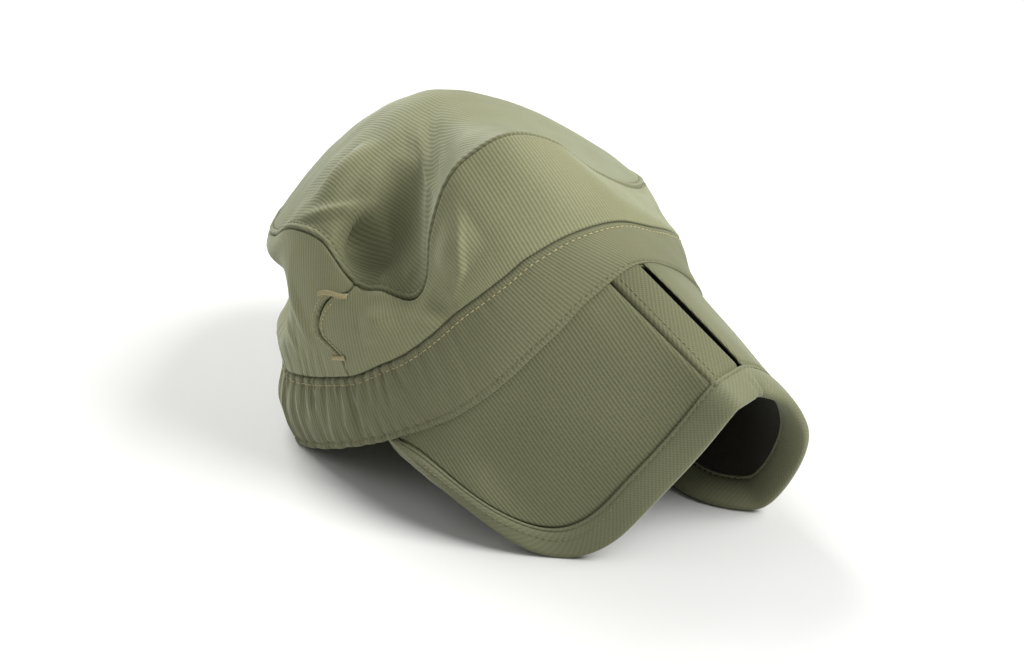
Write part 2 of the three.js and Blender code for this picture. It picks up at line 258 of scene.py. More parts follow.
def peakSkin(across, along):
    across, along = np.broadcast_arrays(np.asarray(across, float), np.asarray(along, float))
    row = peakRow(across)
    root = peakRoot(row["root"])
    edge = np.stack([row["x"], row["y"], row["z"]], -1)
    side = np.sign(row["root"])
    away = unit(np.stack([-side, 0 * side - shape["bowForward"], 0 * side + shape["bowLift"]], -1))
    bow = row["bow"] * np.sin(np.pi * np.clip(along, 0, 1)) ** 2
    return root + (edge - root) * along[..., None] + away * bow[..., None]


# Where along the ruling the binding begins, evened out away from the centre strip.
def bindingStart(across):
    across = np.asarray(across, float)
    off = (np.abs(across - 0.5) - shape["evenFrom"]) / shape["evenOver"]
    reach = shape["evenReach"] * np.clip(off, 0, 1)
    return sum(plainStart(across + (i - 2) * reach / 2) * share
               for i, share in enumerate(evenShares)) / sum(evenShares)


# The same before it is evened out: the binding narrows and ends within the ruling at both ends.
def plainStart(across):
    row = peakRow(across)
    ruling = peakRoot(row["root"]) - np.stack([row["x"], row["y"], row["z"]], -1)
    tangent = unit(peakSkin(across + probe["across"], 1) - peakSkin(across - probe["across"], 1))
    width = np.linalg.norm(ruling - tangent * (ruling * tangent).sum(-1, keepdims=True), axis=-1)
    end = np.clip((np.abs(across - 0.5) - shape["taperFrom"]) / shape["taperOver"], 0, 1)
    taper, limit = (np.where(across > 0.5, shape[key][1], shape[key][0])
                    for key in ("bindingTaper", "bindingShare"))
    taper = 1 - taper * end ** 2 * (3 - 2 * end)
    share = shape["bindingWidth"] * taper / width
    return 1 - share / (1 + (share / limit) ** 6) ** (1 / 6)


def linear(hexColour):
    value = [int(hexColour[i:i + 2], 16) / 255 for i in (1, 3, 5)]
    return [c / 12.92 if c <= 0.04045 else ((c + 0.055) / 1.055) ** 2.4 for c in value] + [1.0]


# Adds a node with its settings and links: a link is a socket, anything else is a plain value.
def addNode(tree, kind, settings=None, links=None):
    node = tree.nodes.new(kind)
    for name, value in (settings or {}).items():
        setattr(node, name, value)
    for name, value in (links or {}).items():
        socket = node.inputs[name]
        if isinstance(value, bpy.types.NodeSocket):
            tree.links.new(value, socket)
        else:
            socket.default_value = value
    return node


# What all the cloths share: scales are in repeats a metre, depths in metres.
weave = {
    "swayScale": 60.0, "sway": 0.0006, "mottleScale": 25.0, "mottleShare": 0.45,
    "slubScale": 900.0, "slubShare": 0.25, "slubRelief": 0.3, "depth": 0.0003,
    "bloom": "#dce6d6", "bloomSpread": 0.35, "gloss": 0.25,
}


# Cloth woven with raised ribs: painted shade as fine dark lines between them, the cloth's own mottle
# and slubs, and a soft bloom on the edges.
# Its rib and thread are real distances in millimetres.
def wovenCloth(name, finish):
    material = bpy.data.materials.new(name)
    material.use_nodes = True
    tree = material.node_tree
    tree.nodes.clear()
    place = addNode(tree, "ShaderNodeUVMap", {"uv_map": "clothPattern"})
    turned = addNode(tree, "ShaderNodeVectorRotate", {"rotation_type": "Z_AXIS"},
                     {"Vector": place.outputs[0], "Angle": math.radians(finish["turn"])})
    sway = addNode(tree, "ShaderNodeTexNoise", {},
                   {"Vector": turned.outputs[0], "Scale": weave["swayScale"]})
    drift = addNode(tree, "ShaderNodeMath", {"operation": "MULTIPLY"},
                    {0: sway.outputs["Fac"], 1: weave["sway"]})
    axes = addNode(tree, "ShaderNodeSeparateXYZ", {}, {0: turned.outputs[0]})
    waves = []
    for axis, pitch in ((0, finish["rib"]), (1, finish["thread"])):
        place = addNode(tree, "ShaderNodeMath", {"operation": "ADD"},
                        {0: axes.outputs[axis], 1: drift.outputs[0]})
        turn = addNode(tree, "ShaderNodeMath", {"operation": "MULTIPLY"},
                       {0: place.outputs[0], 1: 2000 * math.pi / pitch})
        wave = addNode(tree, "ShaderNodeMath", {"operation": "SINE"}, {0: turn.outputs[0]})
        waves.append(addNode(tree, "ShaderNodeMath", {"operation": "MULTIPLY_ADD"},
                             {0: wave.outputs[0], 1: 0.5, 2: 0.5}))
    both = addNode(tree, "ShaderNodeMix", {"data_type": "FLOAT"},
                   {0: finish["threadShare"], 2: waves[0].outputs[0], 3: waves[1].outputs[0]})
    mottle = addNode(tree, "ShaderNodeTexNoise", {},
                     {"Vector": turned.outputs[0], "Scale": weave["mottleScale"], "Detail": 4.0})
    slub = addNode(tree, "ShaderNodeTexNoise", {},
                   {"Vector": turned.outputs[0], "Scale": weave["slubScale"], "Detail": 2.0})
    shade = addNode(tree, "ShaderNodeMix", {"data_type": "FLOAT"},
                    {0: weave["mottleShare"], 2: both.outputs[0], 3: mottle.outputs["Fac"]})
    ribShadeAndGrain = addNode(tree, "ShaderNodeMix", {"data_type": "FLOAT"},
                    {0: weave["slubShare"], 2: shade.outputs[0], 3: slub.outputs["Fac"]})
    # Dark to light by the rib and thread waves, which paints shade into the grooves between ribs,
    # mixed with the cloth's own mottle and slubs.
    colour = addNode(tree, "ShaderNodeMix", {"data_type": "RGBA"},
                     {0: ribShadeAndGrain.outputs[0], 6: linear(finish["dark"]), 7: linear(finish["light"])})
    relief = addNode(tree, "ShaderNodeMix", {"data_type": "FLOAT"},
                     {0: weave["slubRelief"], 2: both.outputs[0], 3: slub.outputs["Fac"]})
    bump = addNode(tree, "ShaderNodeBump", {},
                   {"Height": relief.outputs[0], "Strength": finish["relief"],
                    "Distance": weave["depth"]})
    shader = addNode(tree, "ShaderNodeBsdfPrincipled", {},
                     {"Base Color": colour.outputs[2], "Roughness": finish["roughness"],
                      "Sheen Weight": finish["sheen"], "Sheen Roughness": weave["bloomSpread"],
                      "Sheen Tint": linear(weave["bloom"]), "Specular IOR Level": weave["gloss"],
                      "Normal": bump.outputs[0]})
    addNode(tree, "ShaderNodeOutputMaterial", {}, {"Surface": shader.outputs[0]})
    return material


yarn = {"twistScale": 1500.0, "relief": 0.3, "depth": 0.0002, "roughness": 0.6}


# Sewing thread in spun polyester: a soft glint on each stitch.
def sewingThread(name, colours):
    material = bpy.data.materials.new(name)
    material.use_nodes = True
    tree = material.node_tree
    tree.nodes.clear()
    place = addNode(tree, "ShaderNodeTexCoord")
    twist = addNode(tree, "ShaderNodeTexNoise", {},
                    {"Vector": place.outputs["Object"], "Scale": yarn["twistScale"], "Detail": 1.0})
    colour = addNode(tree, "ShaderNodeMix", {"data_type": "RGBA"},
                     {0: twist.outputs["Fac"], 6: linear(colours[0]), 7: linear(colours[1])})
    bump = addNode(tree, "ShaderNodeBump", {},
                   {"Height": twist.outputs["Fac"], "Strength": yarn["relief"],
                    "Distance": yarn["depth"]})
    shader = addNode(tree, "ShaderNodeBsdfPrincipled", {},
                     {"Base Color": colour.outputs[2], "Roughness": yarn["roughness"],
                      "Normal": bump.outputs[0]})
    addNode(tree, "ShaderNodeOutputMaterial", {}, {"Surface": shader.outputs[0]})
    return material


# The crown's cloth: matt olive, its ribs paler than the painted shade between them, and they bloom
# where the light grazes them.
crownCloth = wovenCloth("ribbedStretchNylon", {
    "dark": "#5a5b43", "light": "#90916f", "rib": 1.5, "thread": 0.8, "turn": 0,
    "threadShare": 0.2, "relief": 0.5, "roughness": 0.75, "sheen": 0.45})
# The sides' cloth: the same weave in lighter colours, painted light where the sides stand in the
# light.
sideClothPaintedLight = wovenCloth("ribbedStretchNylonSidesPaintedLight", {
    "dark": "#65664b", "light": "#9c9d79", "rib": 1.5, "thread": 0.8, "turn": 0,
    "threadShare": 0.2, "relief": 0.5, "roughness": 0.75, "sheen": 0.45})
# The band's cloth: doubled over elastic, the same weave in darker colours, painted shade where the
# band turns from the light.
bandClothPaintedShade = wovenCloth("ribbedStretchNylonBandPaintedShade", {
    "dark": "#57573f", "light": "#868768", "rib": 1.5, "thread": 0.8, "turn": 0,
    "threadShare": 0.2, "relief": 0.5, "roughness": 0.75, "sheen": 0.4})
# The peak's cloth: pulled smooth over a stiff sheet, the same weave in darker colours, painted shade
# for the peak.
peakClothPaintedShade = wovenCloth("ribbedStretchNylonPeakPaintedShade", {
    "dark": "#55563d", "light": "#858667", "rib": 1.5, "thread": 0.8, "turn": 10,
    "threadShare": 0.2, "relief": 0.5, "roughness": 0.75, "sheen": 0.4})
# Cut on the bias: its slanting ribs look finer and softer, and its darker colours are painted shade
# where the crown shades it.
stripClothPaintedShade = wovenCloth("biasCutNylon", {
    "dark": "#51523a", "light": "#7b7b5d", "rib": 1.5, "thread": 0.9, "turn": 40,
    "threadShare": 0.35, "relief": 0.5, "roughness": 0.75, "sheen": 0.4})
# Bias tape: a low crossed grain, without the sides' clear ribs.
bindingCloth = wovenCloth("biasCutNylonBinding", {
    "dark": "#5d5e45", "light": "#85876a", "rib": 1.5, "thread": 0.9, "turn": 45,
    "threadShare": 0.5, "relief": 0.3, "roughness": 0.75, "sheen": 0.4})
# The lining: near black and flat, with a small square weave.
liningCloth = wovenCloth("blackPlainWeaveLining", {
    "dark": "#1f1e1a", "light": "#403e37", "rib": 0.9, "thread": 0.9, "turn": 0,
    "threadShare": 0.5, "relief": 0.4, "roughness": 0.75, "sheen": 0.1})
# Olive thread sinks into the cloth; tan thread stands out as a broken pale line.
oliveThread = sewingThread("olivePolyesterThread", ("#4e4e38", "#8d8b68"))
tanThread = sewingThread("tanPolyesterThread", ("#8f8460", "#c2b78c"))
print("materials made")


def gridNormals(p, wrapped=False, sign=1.0):
    up = np.gradient(p, axis=0)
    if wrapped:
        across = np.roll(p, -1, 1) - np.roll(p, 1, 1)
    else:
        across = np.gradient(p, axis=1)
    return unit(np.cross(up, across)) * sign


def runLength(p, axis):
    step = np.linalg.norm(np.diff(p, axis=axis), axis=-1)
    zero = np.zeros_like(np.take(step, [0], axis))
    return np.concatenate([zero, np.cumsum(step, axis)], axis)


# Makes one object of points in the tables' millimetres, faces and pattern places for each corner.
def makePiece(name, points, faces, corners, material, slot, replaced=()):
    points = np.array(points, float)
    points[:, 2] = np.maximum(points[:, 2], 0.0)
    mesh = bpy.data.meshes.new(name)
    mesh.from_pydata(((points + shape["shift"]) / 1000).tolist(), [], faces)
    if corners is not None:
        layer = mesh.uv_layers.new(name="clothPattern")
        layer.data.foreach_set("uv", (np.array(corners, np.float32) / 1000).ravel())
    mesh.materials.append(material)
    mesh.shade_smooth()
    mesh.set_sharp_from_angle(angle=math.radians(55))
    piece = bpy.data.objects.new(name, mesh)
    bpy.context.scene.collection.objects.link(piece)
    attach(piece, "root")
    if replaced:
        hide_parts(*replaced)
    print("made", name, len(mesh.polygons))
    return piece


# A closed cloth body from rows of outer and inner points, with the flat pattern's places.
# A wrapped body joins its last column to its first; a capped one ends in a point.
def clothBody(outer, inner, pattern, wrapped=False, capped=False, flip=False):
    rows, columns = outer.shape[:2]
    last = columns if wrapped else columns - 1
    index = np.arange(rows * columns).reshape(rows, columns)
    points = np.concatenate([outer.reshape(-1, 3), inner.reshape(-1, 3)])
    index = [index, index + rows * columns]
    if capped:
        for side in index:
            side[-1] = side[-1, 0]
    faces = []
    corners = []

    def quad(side, cells):
        ids = [int(index[s][r, c % columns]) for s, (r, c) in zip(side, cells)]
        places = [pattern[r, c] for r, c in cells]
        keep = [i for i in range(4) if ids[i] != ids[i - 1]]
        if flip:
            keep = keep[::-1]
        faces.append([ids[i] for i in keep])
        corners.extend(places[i] for i in keep)

    for r in range(rows - 1):
        for c in range(last):
            quad((0, 0, 0, 0), ((r, c), (r + 1, c), (r + 1, c + 1), (r, c + 1)))
            quad((1, 1, 1, 1), ((r, c), (r, c + 1), (r + 1, c + 1), (r + 1, c)))
    for c in range(last):
        quad((0, 0, 1, 1), ((0, c), (0, c + 1), (0, c + 1), (0, c)))
        if not capped:
            end = rows - 1
            quad((0, 1, 1, 0), ((end, c), (end, c), (end, c + 1), (end, c + 1)))
    if not wrapped:
        for r in range(rows - 1):
            end = columns - 1
            quad((0, 1, 1, 0), ((r, 0), (r, 0), (r + 1, 0), (r + 1, 0)))
            quad((0, 0, 1, 1), ((r, end), (r + 1, end), (r + 1, end), (r, end)))
    used = np.unique(np.concatenate([np.array(f) for f in faces]))
    renumber = np.full(len(points), -1)
    renumber[used] = np.arange(len(used))
    faces = [[int(renumber[i]) for i in f] for f in faces]
    return points[used], faces, corners


# The cloth's folds: places along each, with its half width and how far it stands out.
creaseColumns = ["at", "level", "width", "out"]
creases = {
    "overPocket": [[107, 2.05, 3, 0], [96, 2.09, 3.6, 2.4], [87, 2.17, 3.6, 3.0], [72, 2.3, 3.4, 0]],
    "pocketWall": [[84, 2.5, 14, 0], [66, 2.36, 18, 1.3], [50, 2.2, 14, 0]],
    "pocket": [[84, 2.16, 9, 0], [74, 2.125, 13, -10], [60, 2.07, 10, 0]],
    "wrinkleLong": [[86, 2.8, 4, 0], [47, 2.54, 3.5, 1.1], [35, 2.32, 3.5, 1.2], [27, 2.04, 3, 0]],
    "wrinkleShort": [[29, 2.53, 3, 0], [25.5, 2.3, 3, 0.9], [25, 2.03, 3, 0]],
    "wrinkleBack": [[95, 2.76, 4, 0], [60, 2.6, 4, 0.8], [50, 2.4, 4, 0]],
    "pocketPleatOne": [[71, 2.02, 2.5, 0], [64, 2.075, 2.5, 1.3], [53, 2.1, 2.5, 0]],
    "pocketPleatTwo": [[49.5, 2.03, 2.2, 0], [46.8, 2.09, 2.5, 1.2], [42.5, 2.13, 2.5, 0]],
    "pocketPleatThree": [[60, 2.02, 2.2, 0], [57, 2.05, 2.2, 0.9], [49, 2.06, 2.2, 0]],
    "frontRidge": [[24, 1.74, 2, 0], [26.5, 1.58, 2.6, 1.5], [29.5, 1.42, 2.8, 1.5], [37, 1.24, 2, 0]],
    "frontHollow": [[38, 1.62, 8, 0], [39, 1.42, 9, -2.4], [39, 1.2, 5, 0]],
    "frontFold": [[72, 1.6, 5, 0], [59, 1.46, 6, -1.4], [46, 1.42, 5, 0]],
    "backFoldOne": [[112, 1.75, 4, 0], [104, 1.5, 5, 1.2], [98, 1.2, 3, 0]],
    "backFoldTwo": [[122, 1.6, 4, 0], [112, 1.35, 4, 1.0], [106, 1.1, 3, 0]],
}


def creaseOut(p):
    total = np.zeros(p.shape[:-1])
    for rows in creases.values():
        spots = [skin(row[0], row[1]) for row in rows]
        best = np.zeros_like(total)
        for i in range(len(rows) - 1):
            line = spots[i + 1] - spots[i]
            t = np.clip(((p - spots[i]) @ line) / (line @ line), 0, 1)
            distance = np.linalg.norm(p - spots[i] - line * t[..., None], axis=-1)
            width, out = (rows[i][c] + (rows[i + 1][c] - rows[i][c]) * t for c in (2, 3))
            value = out * hump(distance / width)
            best = np.where(np.abs(value) > np.abs(best), value, best)
        total += best
    return total


# Uneven gathers along a seam: each runs a different way into the cloth and dies out.
def gatherOut(at, level, gathers):
    draw = np.random.RandomState(gathers["seed"])
    out = np.zeros(at.shape)
    spot = gathers["from"]
    while spot < 360 - gathers["from"]:
        ease = np.clip((180 - abs(spot - 180) - gathers["from"]) / gathers["ease"], 0.15, 1)
        width, depth, reach, lean = (draw.uniform(*gathers[key])
                                     for key in ("width", "depth", "reach", "lean"))
        far = np.abs(level - gathers["edge"]) / reach
        off = wrapTurn(at - spot - lean * (level - gathers["edge"])) / (width * (1 + far))
        out -= depth * ease * hump(off) * np.clip(1 - far, 0, 1) ** 0.7
        spot += draw.uniform(*gathers["pitch"])
    return out


slack = {"waves": 7, "length": (16, 42)}


# Slow waves over the cloth, so that no panel is quite smooth.
def slackOut(pattern, depth, seed):
    draw = np.random.RandomState(seed)
    out = np.zeros(pattern.shape[:-1])
    for _ in range(slack["waves"]):
        heading = draw.uniform(0, np.pi)
        length = draw.uniform(*slack["length"])
        phase = draw.uniform(0, 2 * np.pi)
        along = pattern @ np.array([np.cos(heading), np.sin(heading)])
        out += np.sin(2 * np.pi * along / length + phase)
    return out * depth / slack["waves"]


# A seam's edge: the cloth rolls down into the seam and stands up in a low welt beside it.
def edgeOut(distance, edge):
    dip = -edge["dip"] * np.exp(-(distance / edge["roll"]) ** 2)
    welt = edge["welt"] * hump((distance - edge["weltAt"]) / edge["weltWidth"])
    stitched = -edge["pull"] * hump((distance - edge["stitchAt"]) / edge["stitchWidth"])
    return dip + welt + stitched


crown = {
    "columns": 420, "wall": 1.6, "slack": 0.5, "seed": 11,
    "levels": [2.0, 2.004, 2.008, 2.013, 2.019, 2.026, 2.034, 2.043, 2.053, 2.065, 2.08],
    "gathers": [],
    "edge": {"dip": 1.6, "roll": 0.4, "welt": 0.6, "weltAt": 1.6, "weltWidth": 2.2,
             "pull": 0.5, "stitchAt": 3.0, "stitchWidth": 0.9},
}
side = {
    "wall": 1.6, "slack": 0.45, "seed": 23, "trim": 0.02,
    "gathers": [
        {"edge": 1.0, "from": 84, "ease": 12, "pitch": (4, 7), "width": (1.0, 1.8),
         "depth": (0.4, 1.0), "reach": (0.2, 0.5), "lean": (-14, 6), "seed": 8},
    ],
    "edge": {"dip": 1.4, "roll": 0.38, "welt": 0.15, "weltAt": 1.4, "weltWidth": 1.5,
             "pull": 0.0, "stitchAt": 3.0, "stitchWidth": 0.9},
}
band = {
    "wall": 2.4, "slack": 0.3, "seed": 5,
    "gathers": [
        {"edge": 1.0, "from": 30, "ease": 45, "pitch": (3.2, 6.2), "width": (1.0, 2.0),
         "depth": (0.8, 1.9), "reach": (0.4, 1.1), "lean": (-9, 5), "seed": 3},
        {"edge": 0.0, "from": 40, "ease": 45, "pitch": (3.0, 6.0), "width": (0.9, 1.8),
         "depth": (0.5, 1.3), "reach": (0.3, 0.8), "lean": (-5, 5), "seed": 4},
    ],
    "edge": {"dip": 1.2, "roll": 0.4, "welt": 0.25, "weltAt": 1.6, "weltWidth": 1.4,
             "pull": 0.45, "stitchAt": 3.0, "stitchWidth": 0.9},
}


# Taken on both sides of a seam, so that two panels meet along it.
def skinNormal(at, level):
    low = np.maximum(level - probe["fineLevel"], 0)
    high = np.minimum(level + probe["fineLevel"], 2.999)
    up = skin(at, high) - skin(at, low)
    across = skin(at + probe["fineAt"], level) - skin(at - probe["fineAt"], level)
    return unit(np.cross(up, across))


# The pattern runs on past a panel's ends, by degrees and the same in millimetres, and the slow
# waves die out towards its seams.
margin = {"turn": 30, "run": 40, "calm": 6}


# One panel of the cap between two levels, as points, normals and distances from its edges.
def capPanel(stations, levels, piece, shift=None, wrapped=False, capped=False):
    at, level = np.meshgrid(stations, levels)
    if shift is not None:
        at = at + shift(at, level)
    base = skin(at, level)
    normal = skinNormal(at, level)
    fromLow = runLength(base, 0)
    fromTop = fromLow[-1] - fromLow
    aroundRow = runLength(base, 1)
    if capped:
        normal[-1] = (0, 0, 1)
        reach = fromTop
        turn = np.radians(section(wrapTurn(at))["crownTurn"])
        pattern = np.stack([-reach * np.sin(turn), reach * np.cos(turn)], -1)
    else:
        middle = len(levels) // 2
        known, run = at[middle], aroundRow[middle]
        known = np.concatenate([[known[0] - margin["turn"]], known, [known[-1] + margin["turn"]]])
        run = np.concatenate([[-margin["run"]], run, [run[-1] + margin["run"]]])
        place = np.interp(at.ravel(), known, run).reshape(at.shape)
        pattern = np.stack([place, fromLow], -1)
    out = slackOut(pattern, piece["slack"], piece["seed"])
    out *= np.clip(fromLow / margin["calm"], 0, 1)
    if not capped:
        out *= np.clip(fromTop / margin["calm"], 0, 1)
    out += creaseOut(base)
    for gathers in piece["gathers"]:
        out += gatherOut(at, level, gathers)
    out += edgeOut(fromLow, piece["edge"])
    if not capped:
        out += edgeOut(fromTop, piece["edge"])
    if not wrapped:
        for distance in (aroundRow, aroundRow[:, -1:] - aroundRow):
            out += edgeOut(distance, side["edge"])
    return {"base": base, "normal": normal, "out": out, "fromLow": fromLow, "fromTop": fromTop,
            "around": aroundRow, "pattern": pattern, "at": at, "level": level}


# Gives a panel its wall and makes the piece.
def finishPanel(name, panel, piece, material, slot, node, wrapped=False, capped=False):
    outer = panel["base"] + panel["normal"] * panel["out"][..., None]
    normal = gridNormals(outer, wrapped)
    if capped:
        outer[-1] = outer[-1].mean(0)
        normal[-1] = (0, 0, 1)
    inner = outer - normal * piece["wall"]
    pattern = panel["pattern"]
    if wrapped and capped:
        pattern = np.concatenate([pattern, pattern[:, :1]], 1)
    elif wrapped:
        ends = pattern[:, -1:] + (pattern[:, -1:] - pattern[:, -2:-1])
        pattern = np.concatenate([pattern, ends], 1)
    points, faces, corners = clothBody(outer, inner, pattern, wrapped, capped)
    panel["outer"] = outer
    panel["outerNormal"] = normal
    return makePiece(name, points, faces, corners, material, slot, [node])


crownStations = np.linspace(-180, 180, crown["columns"], endpoint=False)
crownLevels = np.array(crown["levels"] + list(np.linspace(2.1, 3.0, 46)))
topPanel = capPanel(crownStations, crownLevels, crown, wrapped=True, capped=True)
crownTopCloth = finishPanel("crownTopCloth", topPanel, crown, crownCloth, "crown_cloth",
                            "crown_top", wrapped=True, capped=True)


# The slit's line, and how far its lips stand apart between the two bar tacks.
slitRows = [[1.0, 80.5], [1.05, 81.2], [1.2, 83.2], [1.26, 87], [1.33, 92], [1.45, 92.2],
            [1.69, 83.8], [1.78, 79], [1.87, 74.5], [2.0, 70]]
slitLine = tableCurve(["level", "line"], slitRows)
slitTacks = (1.18, 1.68)


def slitShift(at, level):
    past = at - shape["sideSeam"]
    shift = (slitLine(level)["line"] - shape["sideSeam"]) * hump(past / shape["slitReach"])
    share = np.clip((level - slitTacks[0]) / (slitTacks[1] - slitTacks[0]), 0, 1)
    return shift + np.sign(past) * shape["slitOpen"] * np.sin(np.pi * share) * np.exp(-np.abs(past))


# Rows and columns that stand closer at a panel's edges, where the cloth rolls into its seams.
def fineLevels(low, high, steps):
    edge = np.array([0, 0.012, 0.024, 0.038, 0.054, 0.072])
    middle = np.linspace(0.1, 0.9, steps)
    return low + (high - low) * np.concatenate([edge, middle, (1 - edge)[::-1]])


def fineStations(start, finish, steps):
    edge = np.array([0, 0.3, 0.6, 1.0, 1.5, 2.1])
    middle = np.linspace(start + 3, finish - 3, steps)
    return np.concatenate([start + edge, middle, (finish - edge)[::-1]])


seam = shape["sideSeam"]
frontStations = fineStations(-seam + side["trim"], seam - side["trim"], 300)
backStations = fineStations(seam + side["trim"], 360 - seam - side["trim"], 380)
sideLevels = fineLevels(1.0, 2.0, 30)
frontPanel = capPanel(frontStations, sideLevels, side, slitShift)
sideFrontCloth = finishPanel("sideFrontCloth", frontPanel, side, sideClothPaintedLight, "side_cloth",
                             "side_front")
backPanel = capPanel(backStations, sideLevels, side, slitShift)
sideBackCloth = finishPanel("sideBackCloth", backPanel, side, sideClothPaintedLight, "side_cloth",
                            "side_back")

bandStations = np.linspace(-180, 180, 900, endpoint=False)
bandPanel = capPanel(bandStations, fineLevels(0.0, 1.0, 20), band, wrapped=True)
headbandCloth = finishPanel("headbandCloth", bandPanel, band, bandClothPaintedShade, "band_cloth",
                            "headband", wrapped=True)


# A line over a panel where its distance from an edge has one value: places and normals.
def lineOn(panel, distance, value, turned=False):
    layers = [panel["outer"], panel["outerNormal"], distance[..., None]]
    if turned:
        layers = [layer.swapaxes(0, 1) for layer in layers]
    outer, normal, far = layers
    if far[0, 0, 0] > far[-1, 0, 0]:
        outer, normal, far = outer[::-1], normal[::-1], far[::-1]
    line = np.array([[np.interp(value, far[:, c, 0], layer[:, c, i])
                      for layer in (outer, normal) for i in range(3)] for c in range(far.shape[1])])
    return line[:, :3], unit(line[:, 3:])


# A stitch in five places along its run: how high it lies and how thick it is, in its radius.
thread = {
    "sides": 6, "along": (0, 0.15, 0.5, 0.85, 1), "lift": (-0.7, 0.3, 0.6, 0.3, -0.7),
    "girth": (0.45, 1, 1.05, 1, 0.45), "slant": 0.8,
}


# One thread through given spots: its ends sink into the cloth.
def addThread(bag, spots, normals, radius):
    ahead = unit(np.gradient(spots, axis=0))
    across = unit(np.cross(ahead, normals))
    up = np.cross(across, ahead)
    lift, girth = (np.array(thread[key]) * radius for key in ("lift", "girth"))
    sides = thread["sides"]
    turn = np.arange(sides) * 2 * np.pi / sides
    centre = spots + normals * lift[:, None]
    ring = (centre[:, None] + girth[:, None, None] * (
        up[:, None] * np.cos(turn)[None, :, None] + across[:, None] * np.sin(turn)[None, :, None]))
    first = len(bag["points"])
    bag["points"].extend(ring.reshape(-1, 3))
    for r in range(len(spots) - 1):
        for c in range(sides):
            d = (c + 1) % sides
            a, b = first + r * sides, first + (r + 1) * sides
            bag["faces"].append([a + c, a + d, b + d, b + c])
    last = first + (len(spots) - 1) * sides
    bag["faces"].append([first + c for c in range(sides - 1, -1, -1)])
    bag["faces"].append([last + c for c in range(sides)])


# A row of stitches along a line, which is its places and normals.
def stitchRow(bag, line, stitch, start=0.0, finish=None):
    places, normals = line
    run = runLength(places, 0)
    finish = run[-1] if finish is None else finish
    shares = np.array(thread["along"])
    spot = start
    while spot + stitch["length"] < finish:
        at = spot + stitch["length"] * shares
        spots, ups = (np.stack([np.interp(at, run, layer[:, i]) for i in range(3)], -1)
                      for layer in (places, normals))
        addThread(bag, spots, unit(ups), stitch["radius"])
        spot += stitch["pitch"]


# A bar tack: threads laid to and fro across a short line over the cloth.
def barTack(bag, tack):
    share = np.linspace(0, 1, 30)
    at, level = (tack["from"][i] + (tack["to"][i] - tack["from"][i]) * share for i in (0, 1))
    normals = skinNormal(at, level)
    base = skin(at, level)
    places = base + normals * (np.maximum(creaseOut(base), 0) + tack["lift"])[:, None]
    run = runLength(places, 0)
    for i in range(int(run[-1] / tack["pitch"])):
        ends = []
        for j, way in ((i, -1), (i + thread["slant"], 1)):
            place, normal, ahead = (
                np.array([np.interp(tack["pitch"] * j, run, layer[:, k]) for k in range(3)])
                for layer in (places, normals, np.gradient(places, axis=0)))
            ends.append(place + unit(np.cross(normal, ahead)) * way * tack["width"] / 2)
        ends = ends[::-1] if i % 2 else ends
        spots = ends[0] + (ends[1] - ends[0]) * np.array(thread["along"])[:, None]
        addThread(bag, spots, np.broadcast_to(unit(normal), spots.shape), tack["radius"])


def newBag():
    return {"points": [], "faces": []}


def makeThreads(name, bag, material, slot):
    return makePiece(name, bag["points"], bag["faces"], None, material, slot)


# Stitches, with how far their row lies from the cloth's edge.
seamStitch = {"pitch": 2.6, "length": 1.9, "radius": 0.24, "inset": 3.0}
fineStitch = {"pitch": 2.2, "length": 1.7, "radius": 0.27, "inset": 2.4}


def seamThreads(name, panel, edge, material, slot):
    bag = newBag()
    stitchRow(bag, lineOn(panel, panel[edge], seamStitch["inset"]), seamStitch)
    return makeThreads(name, bag, material, slot)


bandTopStitches = seamThreads("bandTopStitches", bandPanel, "fromTop", tanThread, "band_cloth")
bandLowStitches = seamThreads("bandLowStitches", bandPanel, "fromLow", oliveThread, "band_cloth")
crownStitches = seamThreads("crownStitches", topPanel, "fromLow", oliveThread, "crown_cloth")

# Stitches on both sides of the slit, and its two bar tacks.
bag = newBag()
tacks = {
    "upper": {"from": (90.5, 1.63), "to": (74, 1.831), "width": 2.3, "pitch": 0.62, "radius": 0.3,
              "lift": 0.3},
    "lower": {"from": (87.2, 1.169), "to": (79.8, 1.194), "width": 2.2, "pitch": 0.62, "radius": 0.3,
              "lift": 0.5},
}
for panel, far in ((frontPanel, frontPanel["around"][:, -1:] - frontPanel["around"]),
                   (backPanel, backPanel["around"])):
    line = lineOn(panel, far, fineStitch["inset"], turned=True)
    low, high = (np.interp(level, panel["level"][:, 0], runLength(line[0], 0))
                 for level in slitTacks)
    stitchRow(bag, line, fineStitch, low, high)
for tack in tacks.values():
    barTack(bag, tack)
slitStitches = makeThreads("slitStitches", bag, tanThread, "side_cloth")

peak = {
    "panelWall": 2.0, "liningWall": 1.0, "stripRise": 1.0, "rootTuck": 2.5,
    "rows": 52, "crowding": 1.7,            # rows stand closer towards the binding
    "underBinding": 1.5, "leastLength": 0.5, "groove": 0.8, "grooveWidth": 1.0,
    "gapeSpan": 0.03, "thinSpan": 3,
}


# Lays a ruled sheet flat, ruling by ruling, and gives each point's place on it.
def flatPattern(p):
    root, edge = p[0], p[-1]
    spots = [(np.zeros(2), np.array([0.0, np.linalg.norm(edge[0] - root[0])]))]

    def corner(a, b, toA, toB):
        line = b - a
        length = np.linalg.norm(line)
        x = (toA ** 2 - toB ** 2 + length ** 2) / (2 * length)
        y = math.sqrt(max(toA ** 2 - x ** 2, 0))
        ahead = line / length
        return a + ahead * x + np.array([ahead[1], -ahead[0]]) * y

    for i in range(1, p.shape[1]):
        r, e = spots[-1]
        newRoot = corner(r, e, np.linalg.norm(root[i] - root[i - 1]),
                         np.linalg.norm(root[i] - edge[i - 1]))
        newEdge = corner(newRoot, e, np.linalg.norm(edge[i] - root[i]),
                         np.linalg.norm(edge[i] - edge[i - 1]))
        spots.append((newRoot, newEdge))
    roots = np.array([s[0] for s in spots])
    edges = np.array([s[1] for s in spots])
    share = runLength(p, 0)
    share = (share / share[-1])[..., None]
    return roots + (edges - roots) * share


